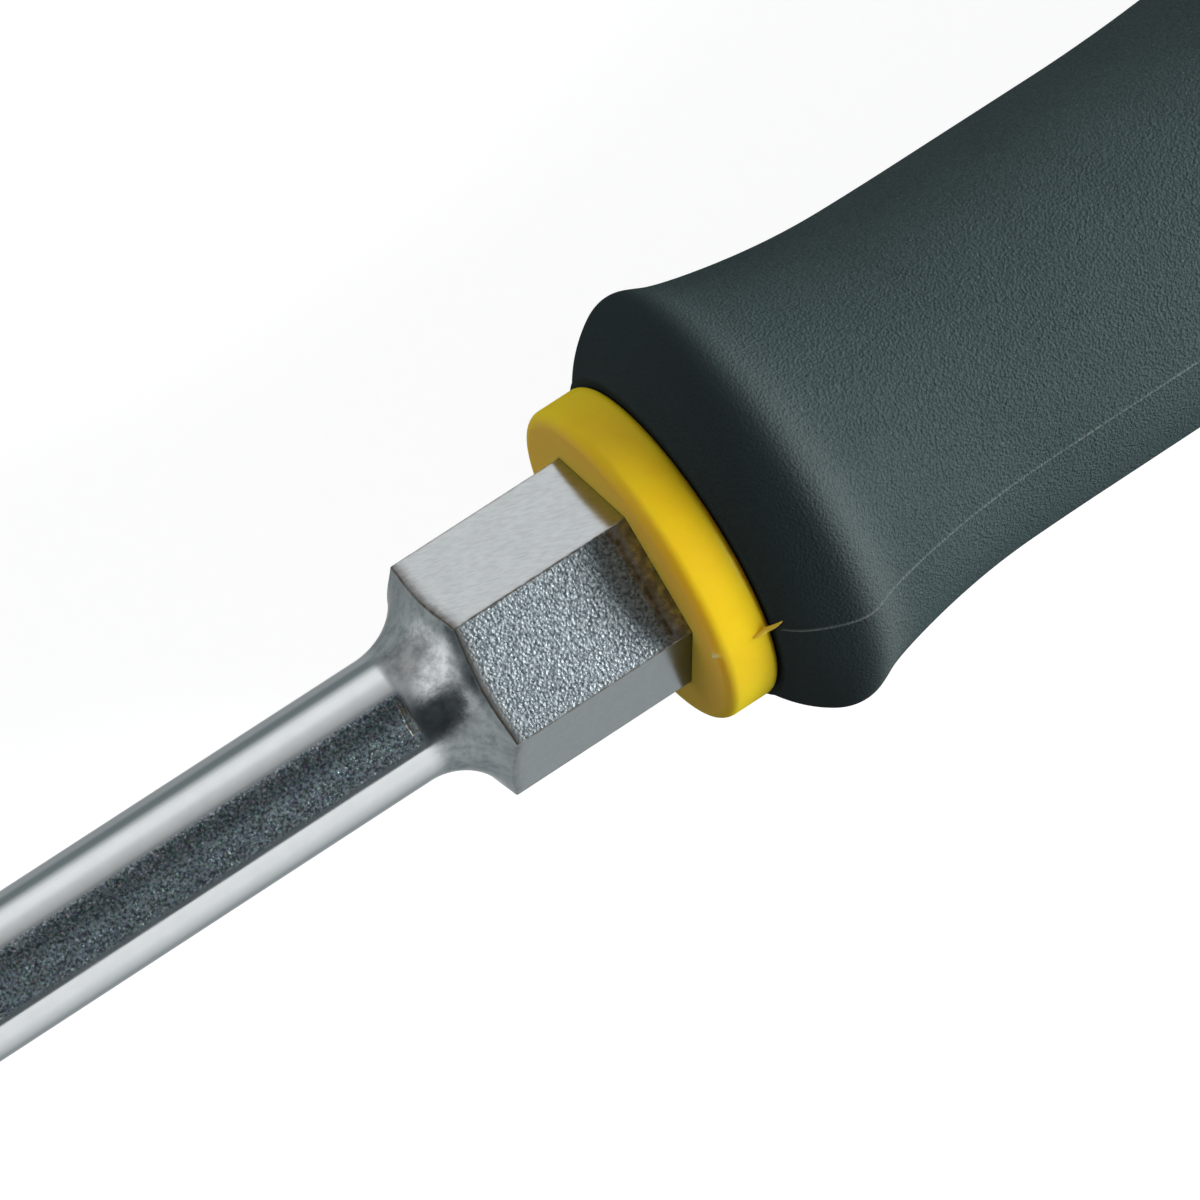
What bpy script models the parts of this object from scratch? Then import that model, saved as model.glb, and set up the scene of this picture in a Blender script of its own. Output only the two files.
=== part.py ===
"""Bolster screwdriver: a forged blade with a hexagon bolster in a soft-grip handle.

Every piece is modelled along its own Z axis and hangs on one empty that lays the tool
down. There, height 0 is the front face of the collar, the tip points up, and depths
behind the collar run down. Local X ends up pointing up, away from the bench.
"""
import math

import bmesh
import bpy
from mathutils import Matrix, Vector

MM = 0.001

# Lengths along the tool, from the front face of the collar
BLADE_REACH = 175.0 * MM
HANDLE_LENGTH = 125.0 * MM

# Fits and cuts
FIT_CLEARANCE = 0.3 * MM
CUT_OVERRUN = 2.0 * MM
WELD_DISTANCE = 0.01 * MM

# Blade: round shank, forged hexagon bolster and flared tip
SHANK_DIAMETER = 8.0 * MM
BOLSTER_ACROSS_FLATS = 13.0 * MM
BOLSTER_EXPOSED = 12.0 * MM
BOLSTER_SEATED = 10.0 * MM
BOLSTER_FILLET = 4.0 * MM
BOLSTER_EDGE = 0.25 * MM
BOLSTER_SHOULDER = 0.35 * MM
TIP_WIDTH = 8.0 * MM
TIP_THICKNESS = 1.2 * MM
TIP_LENGTH = 26.0 * MM
FLARE_WIDTH = 9.8 * MM
FLARE_FROM_TIP = 10.0 * MM
TIP_ROOT_INSET = 0.02 * MM

# Blade: tang inside the handle
TANG_DIAMETER = 7.0 * MM
TANG_COVER = 35.0 * MM
TANG_CHAMFER = 1.0 * MM
WING_SPAN = 12.0 * MM
WING_THICKNESS = 3.0 * MM
WING_LENGTH = 14.0 * MM
WING_FROM_TANG_END = 12.0 * MM
WING_EDGE = 0.6 * MM

# Collar
COLLAR_THICKNESS = 3.6 * MM
COLLAR_LIP = 1.0 * MM
COLLAR_FRONT_ROUND = 0.8 * MM
COLLAR_REAR_ROUND = 0.4 * MM
HUB_LENGTH = 3.0 * MM

# Core
CORE_NECK_WALL = 1.8 * MM
BUTT_LENGTH = 18.0 * MM
BUTT_ROUND = 6.0 * MM
HOLE_DIAMETER = 7.0 * MM
HOLE_FROM_BUTT = 10.5 * MM
HOLE_MOUTH_ROUND = 1.2 * MM

# Grip
GRIP_WALL = 1.6 * MM
GUARD_SEAT_LIP = 0.5 * MM
GUARD_CREST_DEPTH = 7.8 * MM
GUARD_RISE = 2.5 * MM
GUARD_CREST_BLEND = 0.15 * MM
FLARE_ARC = 42.0 * MM
NECK_END_DEPTH = 36.0 * MM
BELLY_FROM_BUTT = 40.0 * MM
BELLY_RISE = 6.65 * MM
LOBE_DEPTH = 2.4 * MM
REAR_DROP = 1.6 * MM

# Shape of the curves, as plain numbers
GUARD_DOME_POWER_SHARE = 1.7
TIP_EXPONENT_SHARE = 14.0
ROUND_EXPONENT_SHARE = 2.0
LOBES = 3

# Fineness of the curved faces
TURN_STEPS = 48
HEXAGON_STEPS = 6
TIP_POINTS = 32
TIP_STATIONS = 14
HANDLE_POINTS = 48
DOME_STATIONS = 7
FLARE_STATIONS = 9
SWELL_STATIONS = 8
REAR_STATIONS = 3
ARC_STEPS = 8
ROUND_STEPS = 4
HOLE_STEPS = 24
SMOOTH_ANGLE = math.radians(30.0)

# Sizes that follow from the ones above
SHANK_RADIUS = SHANK_DIAMETER / 2
TANG_RADIUS = TANG_DIAMETER / 2
HEX_CORNER = BOLSTER_ACROSS_FLATS / math.sqrt(3)
SEAT_ACROSS_FLATS = BOLSTER_ACROSS_FLATS - 2 * BOLSTER_SHOULDER
POCKET_ACROSS_FLATS = SEAT_ACROSS_FLATS + 2 * FIT_CLEARANCE
CORE_NECK_RADIUS = POCKET_ACROSS_FLATS / math.sqrt(3) + CORE_NECK_WALL
COLLAR_RADIUS = CORE_NECK_RADIUS + COLLAR_LIP
COLLAR_REAR = COLLAR_THICKNESS + HUB_LENGTH
NECK_RADIUS = CORE_NECK_RADIUS + FIT_CLEARANCE + GRIP_WALL
GRIP_WALL_AND_FIT = NECK_RADIUS - CORE_NECK_RADIUS
GUARD_RADIUS = NECK_RADIUS + GUARD_RISE
GRIP_FRONT = COLLAR_THICKNESS + FIT_CLEARANCE
GRIP_SEAT_RADIUS = COLLAR_RADIUS + GUARD_SEAT_LIP
CORE_FRONT = COLLAR_REAR + FIT_CLEARANCE
GRIP_END = HANDLE_LENGTH - BUTT_LENGTH
NECK_START_DEPTH = GUARD_CREST_DEPTH + math.sqrt(FLARE_ARC**2 - (FLARE_ARC - GUARD_RISE)**2)
BELLY_DEPTH = HANDLE_LENGTH - BELLY_FROM_BUTT
TANG_END = HANDLE_LENGTH - TANG_COVER
WING_REAR = TANG_END - WING_FROM_TANG_END
AXIS_HEIGHT = NECK_RADIUS + BELLY_RISE - LOBE_DEPTH
COLLAR_X = (HANDLE_LENGTH - BLADE_REACH) / 2


def clear_scene():
    """Remove what the file already holds."""
    for thing in list(bpy.data.objects):
        bpy.data.objects.remove(thing, do_unlink=True)


def new_collection(name):
    """Make a collection and show it in the scene."""
    collection = bpy.data.collections.new(name)
    bpy.context.scene.collection.children.link(collection)
    return collection


def material(name, colour, roughness, metallic=0.0):
    """A plain shader with one colour, roughness and metallic value."""
    made = bpy.data.materials.new(name)
    made.use_nodes = True
    shader = made.node_tree.nodes["Principled BSDF"]
    shader.inputs["Base Color"].default_value = (*colour, 1.0)
    shader.inputs["Roughness"].default_value = roughness
    shader.inputs["Metallic"].default_value = metallic
    made.diffuse_color = (*colour, 1.0)
    return made


def adopt(thing, collection, axis):
    """Put an object in one collection and hang it on the tool's axis."""
    for holder in list(thing.users_collection):
        holder.objects.unlink(thing)
    collection.objects.link(thing)
    thing.parent = axis
    return thing


def object_from_bmesh(name, shape):
    """Turn a bmesh into an object with smooth round faces."""
    mesh = bpy.data.meshes.new(name)
    shape.to_mesh(mesh)
    shape.free()
    return bpy.data.objects.new(name, mesh)


def shade(thing, finish):
    """Give a piece its material, smooth where it is round."""
    thing.data.materials.append(finish)
    thing.data.shade_smooth()
    thing.data.set_sharp_from_angle(angle=SMOOTH_ANGLE)


def as_cutter(thing):
    """Show a cutter as wire and keep it out of the model."""
    thing.display_type = "WIRE"
    thing.hide_render = True
    return thing


def divide(start, end, count):
    """Equal steps from start to end, without the start."""
    return [start + (end - start) * step / count for step in range(1, count + 1)]


def ease(share):
    """A smooth ramp from 0 to 1 that starts and ends level."""
    share = min(max(share, 0.0), 1.0)
    return share * share * (3.0 - 2.0 * share)


def mix(first, second, share):
    """A value between two others."""
    return first + (second - first) * share


def arc(centre_radius, centre_height, size, start, end, steps):
    """Profile points on an arc, from one angle to another."""
    points = []
    for step in range(steps + 1):
        angle = mix(start, end, step / steps)
        points.append((centre_radius + size * math.cos(angle), centre_height + size * math.sin(angle)))
    return points


def turned(name, profile, steps):
    """A solid of revolution about Z from (radius, height) points that run down its outside."""
    shape = bmesh.new()
    corners = [shape.verts.new((radius, 0.0, height)) for radius, height in profile]
    for upper, lower in zip(corners, corners[1:]):
        shape.edges.new((upper, lower))
    thing = object_from_bmesh(name, shape)
    screw = thing.modifiers.new("Turn", "SCREW")
    screw.axis = "Z"
    screw.steps = steps
    screw.render_steps = steps
    screw.use_merge_vertices = True
    screw.merge_threshold = WELD_DISTANCE
    screw.use_smooth_shade = True
    return thing


def hexagon_bar(name, across_flats, top, bottom):
    """A hexagon bar along Z with one corner towards local X."""
    shape = bmesh.new()
    corner = across_flats / math.sqrt(3)
    bmesh.ops.create_cone(shape, cap_ends=True, segments=HEXAGON_STEPS, radius1=corner, radius2=corner, depth=top - bottom)
    turn = Matrix.Rotation(math.pi / 2, 4, "Z")
    bmesh.ops.transform(shape, matrix=turn, verts=shape.verts)
    bmesh.ops.translate(shape, vec=(0.0, 0.0, (top + bottom) / 2), verts=shape.verts)
    return object_from_bmesh(name, shape)


def block(name, size, height):
    """A box centred on the axis at one height."""
    shape = bmesh.new()
    bmesh.ops.create_cube(shape, size=1.0)
    bmesh.ops.scale(shape, vec=size, verts=shape.verts)
    bmesh.ops.translate(shape, vec=(0.0, 0.0, height), verts=shape.verts)
    return object_from_bmesh(name, shape)


def loft(name, rings, closed):
    """Skin rings of points; closed joins the last ring to the first, or else both ends are capped."""
    shape = bmesh.new()
    corners = [[shape.verts.new(point) for point in ring] for ring in rings]
    pairs = list(zip(corners, corners[1:]))
    if closed:
        pairs.append((corners[-1], corners[0]))
    for ring, following in pairs:
        for index in range(len(ring)):
            after = (index + 1) % len(ring)
            shape.faces.new((ring[index], ring[after], following[after], following[index]))
    if not closed:
        shape.faces.new(list(reversed(corners[0])))
        shape.faces.new(corners[-1])
    bmesh.ops.recalc_face_normals(shape, faces=shape.faces)
    return object_from_bmesh(name, shape)


def bevel(thing, width, segments):
    """Round every sharp edge of a piece."""
    rounding = thing.modifiers.new("Rounding", "BEVEL")
    rounding.width = width
    rounding.segments = segments
    rounding.limit_method = "ANGLE"


def combine(target, tool, operation):
    """Join, cut or keep the common part of two solids."""
    step = target.modifiers.new(tool.name, "BOOLEAN")
    step.operation = operation
    step.object = tool
    step.solver = "EXACT"


def guard_radius(depth):
    """Radius of the round front of the grip: a dome, a crest and a hollow run down to the neck."""
    left = max(GUARD_CREST_DEPTH - depth, 0.0) / (GUARD_CREST_DEPTH - GRIP_FRONT)
    dome = mix(GUARD_RADIUS, GRIP_SEAT_RADIUS, left**GUARD_DOME_POWER_SHARE)
    along = max(NECK_START_DEPTH - depth, 0.0)
    hollow = NECK_RADIUS + FLARE_ARC - math.sqrt(FLARE_ARC**2 - min(along, FLARE_ARC)**2)
    lower = min(dome, hollow)
    apart = abs(dome - hollow) / GUARD_CREST_BLEND
    return lower - GUARD_CREST_BLEND * math.log1p(math.exp(-apart))


def handle_radius(depth, angle):
    """Radius of the handle: round to the end of the neck, then a swelling body with three lobes."""
    swell = ease((depth - NECK_END_DEPTH) / (BELLY_DEPTH - NECK_END_DEPTH))
    drop = ease((depth - BELLY_DEPTH) / (HANDLE_LENGTH - BELLY_DEPTH))
    lobes = LOBE_DEPTH * swell * (1.0 - math.cos(LOBES * angle)) / 2
    radius = guard_radius(depth) + BELLY_RISE * swell - REAR_DROP * drop - lobes
    into_round = max(depth - (HANDLE_LENGTH - BUTT_ROUND), 0.0)
    return radius - BUTT_ROUND + math.sqrt(BUTT_ROUND**2 - min(into_round, BUTT_ROUND)**2)


def handle_ring(depth, inset):
    """Points round the handle at one depth, set in by a wall."""
    ring = []
    for index in range(HANDLE_POINTS):
        angle = math.tau * index / HANDLE_POINTS
        radius = handle_radius(depth, angle) - inset
        ring.append(Vector((radius * math.cos(angle), radius * math.sin(angle), -depth)))
    return ring


def round_ring(depth, radius):
    """Points round a circle at one depth."""
    ring = []
    for index in range(HANDLE_POINTS):
        angle = math.tau * index / HANDLE_POINTS
        ring.append(Vector((radius * math.cos(angle), radius * math.sin(angle), -depth)))
    return ring


def tip_section(share):
    """One section of the tip: share is 0 at the working end and 1 at the round shank."""
    flare_share = FLARE_FROM_TIP / TIP_LENGTH
    root = SHANK_RADIUS - TIP_ROOT_INSET
    if share < flare_share:
        half_width = mix(TIP_WIDTH / 2, FLARE_WIDTH / 2, ease(share / flare_share))
    else:
        half_width = mix(FLARE_WIDTH / 2, root, ease((share - flare_share) / (1.0 - flare_share)))
    half_thickness = mix(TIP_THICKNESS / 2, root, ease(share))
    exponent = mix(ROUND_EXPONENT_SHARE, TIP_EXPONENT_SHARE, (1.0 - share)**2)
    height = BLADE_REACH - TIP_LENGTH * share
    ring = []
    for index in range(TIP_POINTS):
        angle = math.tau * index / TIP_POINTS
        across = math.copysign(abs(math.cos(angle))**(2 / exponent), math.cos(angle))
        through = math.copysign(abs(math.sin(angle))**(2 / exponent), math.sin(angle))
        ring.append(Vector((half_width * across, half_thickness * through, height)))
    return ring


def make_blade(parts, cutters, axis, steel):
    """The forging: a turned bar cut to a hexagon bolster, with a flared tip and a winged tang.

    A small shoulder behind the exposed hexagon stops the collar, so the flats end in front of it.
    """
    shank_top = BLADE_REACH - TIP_LENGTH
    fillet_top = BOLSTER_EXPOSED + BOLSTER_FILLET
    bar_radius = max(HEX_CORNER + CUT_OVERRUN, SHANK_RADIUS + BOLSTER_FILLET)
    profile = [(0.0, shank_top), (SHANK_RADIUS, shank_top)]
    profile += arc(SHANK_RADIUS + BOLSTER_FILLET, fillet_top, BOLSTER_FILLET, math.pi, math.pi * 3 / 2, ARC_STEPS)
    profile += [(bar_radius, BOLSTER_EXPOSED), (bar_radius, -BOLSTER_SEATED), (TANG_RADIUS, -BOLSTER_SEATED)]
    profile += [(TANG_RADIUS, -TANG_END + TANG_CHAMFER), (TANG_RADIUS - TANG_CHAMFER, -TANG_END), (0.0, -TANG_END)]
    blade = adopt(turned("blade", profile, TURN_STEPS), parts, axis)

    bar = hexagon_bar("hexagon_bar", BOLSTER_ACROSS_FLATS, shank_top + CUT_OVERRUN, -TANG_END - CUT_OVERRUN)
    bevel(bar, BOLSTER_EDGE, 2)
    combine(blade, as_cutter(adopt(bar, cutters, axis)), "INTERSECT")

    seat_corner = SEAT_ACROSS_FLATS / math.sqrt(3)
    top = shank_top + CUT_OVERRUN
    bottom = -TANG_END - CUT_OVERRUN
    stepped = [(0.0, top), (bar_radius + CUT_OVERRUN, top), (bar_radius + CUT_OVERRUN, FIT_CLEARANCE)]
    stepped += [(seat_corner, FIT_CLEARANCE), (seat_corner, bottom), (0.0, bottom)]
    seat = turned("hexagon_seat", stepped, HEXAGON_STEPS)
    combine(blade, as_cutter(adopt(seat, cutters, axis)), "INTERSECT")

    rings = [tip_section(step / TIP_STATIONS) for step in range(TIP_STATIONS + 1)]
    rings.append([point - Vector((0.0, 0.0, CUT_OVERRUN)) for point in rings[-1]])
    tip = as_cutter(adopt(loft("flared_tip", rings, False), cutters, axis))
    combine(blade, tip, "UNION")

    wings = block("tang_wings", (WING_SPAN, WING_THICKNESS, WING_LENGTH), WING_LENGTH / 2 - WING_REAR)
    bevel(wings, WING_EDGE, 1)
    combine(blade, as_cutter(adopt(wings, cutters, axis)), "UNION")
    shade(blade, steel)


def make_collar(parts, cutters, axis, plastic):
    """The ring in front of the grip, with a hub behind it and a hexagon hole for the bolster."""
    front = COLLAR_FRONT_ROUND
    rear = COLLAR_REAR_ROUND
    profile = [(0.0, 0.0)]
    profile += arc(COLLAR_RADIUS - front, -front, front, math.pi / 2, 0.0, ROUND_STEPS)
    profile += arc(COLLAR_RADIUS - rear, rear - COLLAR_THICKNESS, rear, 0.0, -math.pi / 2, ROUND_STEPS)
    profile += [(CORE_NECK_RADIUS, -COLLAR_THICKNESS), (CORE_NECK_RADIUS, -COLLAR_REAR), (0.0, -COLLAR_REAR)]
    collar = adopt(turned("collar", profile, TURN_STEPS), parts, axis)
    hole = hexagon_bar("collar_hexagon", POCKET_ACROSS_FLATS, CUT_OVERRUN, -COLLAR_REAR - CUT_OVERRUN)
    combine(collar, as_cutter(adopt(hole, cutters, axis)), "DIFFERENCE")
    shade(collar, plastic)


def make_core(parts, cutters, axis, plastic):
    """The hard core: it grips the bolster and tang, carries the grip and shows as the butt."""
    rings = [round_ring(CORE_FRONT, CORE_NECK_RADIUS), round_ring(NECK_START_DEPTH, CORE_NECK_RADIUS)]
    seat = GRIP_END + FIT_CLEARANCE
    inside = [NECK_END_DEPTH] + divide(NECK_END_DEPTH, BELLY_DEPTH, SWELL_STATIONS)
    inside += divide(BELLY_DEPTH, seat, REAR_STATIONS)
    rings += [handle_ring(depth, GRIP_WALL_AND_FIT) for depth in inside]
    butt_start = HANDLE_LENGTH - BUTT_ROUND
    outside = [seat] + divide(seat, butt_start, REAR_STATIONS)
    for step in range(1, ARC_STEPS):
        outside.append(butt_start + BUTT_ROUND * math.sin(math.pi / 2 * step / ARC_STEPS))
    outside.append(HANDLE_LENGTH)
    rings += [handle_ring(depth, 0.0) for depth in outside]
    core = adopt(loft("core", rings, False), parts, axis)

    pocket = hexagon_bar("core_hexagon", POCKET_ACROSS_FLATS, CUT_OVERRUN - CORE_FRONT,
                         -BOLSTER_SEATED - FIT_CLEARANCE)
    combine(core, as_cutter(adopt(pocket, cutters, axis)), "DIFFERENCE")

    bore_end = TANG_END + FIT_CLEARANCE
    bore_radius = TANG_RADIUS + FIT_CLEARANCE
    bore_profile = [(0.0, -CORE_FRONT), (bore_radius, -CORE_FRONT), (bore_radius, -bore_end), (0.0, -bore_end)]
    bore = as_cutter(adopt(turned("tang_bore", bore_profile, TURN_STEPS // 2), cutters, axis))
    combine(core, bore, "DIFFERENCE")

    grown = 2 * FIT_CLEARANCE
    slot_size = (WING_SPAN + grown, WING_THICKNESS + grown, WING_LENGTH + grown)
    slot = block("wing_slot", slot_size, WING_LENGTH / 2 - WING_REAR)
    combine(core, as_cutter(adopt(slot, cutters, axis)), "DIFFERENCE")

    hole_depth = HANDLE_LENGTH - HOLE_FROM_BUTT
    half = handle_radius(hole_depth, math.pi / 2)
    reach = half + CUT_OVERRUN
    radius = HOLE_DIAMETER / 2
    flare = HOLE_MOUTH_ROUND
    spool = [(0.0, reach), (radius + flare, reach)]
    spool += arc(radius + flare, half - flare, flare, math.pi / 2, math.pi, ROUND_STEPS)[1:]
    spool += arc(radius + flare, flare - half, flare, math.pi, math.pi * 3 / 2, ROUND_STEPS)
    spool += [(radius + flare, -reach), (0.0, -reach)]
    hole = as_cutter(adopt(turned("hanging_hole", spool, HOLE_STEPS), cutters, axis))
    hole.location = (0.0, 0.0, -hole_depth)
    hole.rotation_euler = (math.pi / 2, 0.0, 0.0)
    combine(core, hole, "DIFFERENCE")
    shade(core, plastic)


def make_grip(parts, axis, rubber):
    """The soft sleeve moulded over the core, from the guard to the butt."""
    outside = [GRIP_FRONT] + divide(GRIP_FRONT, GUARD_CREST_DEPTH, DOME_STATIONS)
    outside += divide(GUARD_CREST_DEPTH, NECK_START_DEPTH, FLARE_STATIONS) + [NECK_END_DEPTH]
    outside += divide(NECK_END_DEPTH, BELLY_DEPTH, SWELL_STATIONS)
    outside += divide(BELLY_DEPTH, GRIP_END, REAR_STATIONS)
    rings = [handle_ring(depth, 0.0) for depth in outside]
    inside = [NECK_END_DEPTH] + divide(NECK_END_DEPTH, BELLY_DEPTH, SWELL_STATIONS)
    inside += divide(BELLY_DEPTH, GRIP_END, REAR_STATIONS)
    rings += [handle_ring(depth, GRIP_WALL) for depth in reversed(inside)]
    bore = CORE_NECK_RADIUS + FIT_CLEARANCE
    rings += [round_ring(NECK_START_DEPTH, bore), round_ring(GRIP_FRONT, bore)]
    grip = adopt(loft("grip", rings, True), parts, axis)
    shade(grip, rubber)


def main():
    clear_scene()
    parts = new_collection("bolster_screwdriver")
    cutters = new_collection("cutters")
    axis = bpy.data.objects.new("tool_axis", None)
    parts.objects.link(axis)
    laid_down = Matrix(((0.0, 0.0, 1.0), (0.0, -1.0, 0.0), (1.0, 0.0, 0.0)))
    axis.rotation_euler = laid_down.to_euler()
    axis.location = (COLLAR_X, 0.0, AXIS_HEIGHT)

    steel = material("plated_steel", (0.55, 0.56, 0.56), 0.22, 1.0)
    yellow = material("yellow_plastic", (0.79, 0.52, 0.02), 0.42)
    soft = material("soft_grip", (0.045, 0.066, 0.070), 0.62)

    make_blade(parts, cutters, axis, steel)
    make_collar(parts, cutters, axis, yellow)
    make_core(parts, cutters, axis, yellow)
    make_grip(parts, axis, soft)


main()
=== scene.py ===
"""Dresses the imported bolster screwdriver: forged blade, collar, soft grip, butt and studio.

Depths are measured along the tool from the front face of the collar, positive towards
the butt, and turns are angles about its axis from straight up towards +Y.
"""
import math

import bpy
import numpy as np
from mathutils import Matrix, Vector


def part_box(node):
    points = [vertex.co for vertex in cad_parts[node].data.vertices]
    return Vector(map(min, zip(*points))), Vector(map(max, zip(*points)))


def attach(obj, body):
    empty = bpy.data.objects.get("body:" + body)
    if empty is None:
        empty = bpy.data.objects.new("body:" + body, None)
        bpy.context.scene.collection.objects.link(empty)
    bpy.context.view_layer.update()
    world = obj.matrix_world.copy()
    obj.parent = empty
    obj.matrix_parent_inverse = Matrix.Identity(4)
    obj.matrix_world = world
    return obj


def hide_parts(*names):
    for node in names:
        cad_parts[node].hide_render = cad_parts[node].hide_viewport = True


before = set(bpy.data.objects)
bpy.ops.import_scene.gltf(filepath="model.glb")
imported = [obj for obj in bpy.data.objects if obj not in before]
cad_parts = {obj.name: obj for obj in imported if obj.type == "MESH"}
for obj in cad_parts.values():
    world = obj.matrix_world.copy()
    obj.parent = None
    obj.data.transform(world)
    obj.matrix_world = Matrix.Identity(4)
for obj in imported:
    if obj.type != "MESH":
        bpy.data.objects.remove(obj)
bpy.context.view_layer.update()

bl_info = {
    "name": "Bolster screwdriver",
    "version": (1, 0, 0),
    "blender": (4, 5, 0),
    "location": "View3D > Sidebar > Screwdriver",
    "description": "Builds a soft-grip screwdriver with a hexagon bolster around its packed frame",
    "category": "Add Mesh",
}

MM = 0.001
COLLAR_LOW, COLLAR_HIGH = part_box("collar")
CORE_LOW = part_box("core")[0]
BLADE_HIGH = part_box("blade")[1]

# Where the tool lies in the frame
COLLAR_X = COLLAR_HIGH.x
AXIS_HEIGHT = (COLLAR_LOW.z + COLLAR_HIGH.z) / 2
BLADE_REACH = BLADE_HIGH.x - COLLAR_X
HANDLE_LENGTH = COLLAR_X - CORE_LOW.x

SIXTH = math.pi / 3

# Lengths of hidden seats and of small rounded edges
WALL_GAP = 0.3 * MM
TIP_EDGE = 0.06 * MM
HEX_EDGE = 0.12 * MM
SEAT_DROP = 0.35 * MM
SEATED = 10.0 * MM
TANG_RADIUS = 3.5 * MM
TANG_END = 90.0 * MM
TANG_CHAMFER = 1.0 * MM
WING_HALF_SPAN = 6.0 * MM
WING_HALF_THICKNESS = 1.5 * MM
WING_FRONT = 64.0 * MM
WING_REAR = 78.0 * MM
WING_BEVEL = 0.05 * MM
HUB_RADIUS = 9.248 * MM
HUB_REAR = 6.6 * MM
MOUTH_ROUND = 0.12 * MM
COLLAR_FRONT_ROUND = 0.8 * MM
COLLAR_REAR_ROUND = 0.6 * MM
GUARD_SEAT_LIP = 0.5 * MM
GUARD_EDGE = 0.25 * MM
SEAT_DEPTH = 3.9 * MM

# The guard's crest, which wanders along the tool, and the ends and walls of the handle's stretches
CREST_WANDER = 0.35 * MM
CREST_BACK = 0.25 * MM
CREST_TURN = math.radians(41.0)
HOLLOW_END = 26.0 * MM
NECK_END = 36.0 * MM
BORE_END = 22.0 * MM
GRIP_WALL = 1.6 * MM
BUTT_ROUND = 6.0 * MM
JOIN_ROUND = 0.35 * MM
HOLE_MOUTH = 1.2 * MM
CUTTER_REACH = 30.0 * MM

# Marks of forging and grinding: the bolster's front line wanders, its blasted flats stop short of the
# collar, and the sine or cosine of a turn passes FLAT_START where a flat begins, or STRIP_START where
# the scaly strip along the shank does
EDGE_ROWS = 6
HOLLOW_ROWS = 52
FRONT_WANDER = 0.22 * MM
FRONT_WANDER_TURN = math.radians(120.0)
SMOOTH_FOOT = 2.0 * MM
BLAST_END = 1.05 * MM
FLAT_START = 0.862
FLAT_FADE = 0.008
STRIP_TURN = math.radians(25.0)
STRIP_START = 0.90
STRIP_FADE = 0.035
STRIP_ROWS = 6
FOLD_DEPTH = 0.018 * MM

# How dark the steel is: in the hollow, on the ground flats and, more so, on the two flats at the sides, whose
# extra darkness is painted shade
HOLLOW_TONE = 0.76
GROUND_TONE = 0.27
SIDE_SHADE = 0.37

# Marks of moulding: the parting line, the gate on the collar's rim and the scratch beside it. The
# guard's smooth front, painted darker as shade, fades from FRONT_END on, and the paler band painted
# along its crest as a highlight is at CREST_HIGHLIGHT_DEPTH
FRONT_END = 7.35 * MM
CREST_HIGHLIGHT_DEPTH = 9.5 * MM
SEAM_TURN = math.radians(63.3)
SEAM_HEIGHT = 0.07 * MM
GATE_OUT = 9.8 * MM
GATE_ASIDE = 0.15 * MM
GATE_WIDTH = 0.17 * MM
GATE_HEIGHT = 0.22 * MM
SCRATCH_OUT = 9.93 * MM
SCRATCH_START = math.radians(62.0)
SCRATCH_END = math.radians(86.0)
SCRATCH_DEPTH = 0.035 * MM

# How much darker the shank is painted, at turns in degrees: its flanks, and the left side of the scaly strip.
# This is painted shade: dark reflections painted into the steel
SHANK_PAINTED_SHADE = np.array([
    (-180, 0.0), (-120, 0.2), (-80, 0.5), (-60, 0.52), (-50, 0.58), (-43, 1.0), (-37, 1.0), (-32, 0.5),
    (-27, 0.0), (1, 0.0), (7, 0.42), (14, 0.42), (19, 0.3), (25, 0.1), (33, 0.25), (44, 0.22), (51, 0.0),
    (68, 0.0), (74, 0.16), (83, 0.36), (95, 0.76), (112, 0.5), (145, 0.15), (180, 0.0)])

# Slope of the guard's outline at depths in millimetres: steep, then a round crest and a long hollow
GUARD_SLOPES = np.array([
    (3.9, 1.55), (4.4, 1.27), (5.0, 0.985), (5.7, 0.77), (6.4, 0.60), (7.1, 0.28), (7.8, -0.04), (8.5, -0.39),
    (9.2, -0.485), (9.9, -0.347), (10.7, -0.27), (12.0, -0.225), (14.0, -0.182), (17.0, -0.118),
    (21.0, -0.021), (26.0, 0.0)])


def length(name, description, default):
    """A length in metres that a user may change."""
    return bpy.props.FloatProperty(name=name, description=description, default=default, min=0.0001,
                                   subtype="DISTANCE", unit="LENGTH", precision=5)


def colour(name, description, default):
    """A linear colour that a user may change."""
    return bpy.props.FloatVectorProperty(name=name, description=description, default=default, size=3,
                                         min=0.0, max=1.0, subtype="COLOR")


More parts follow.
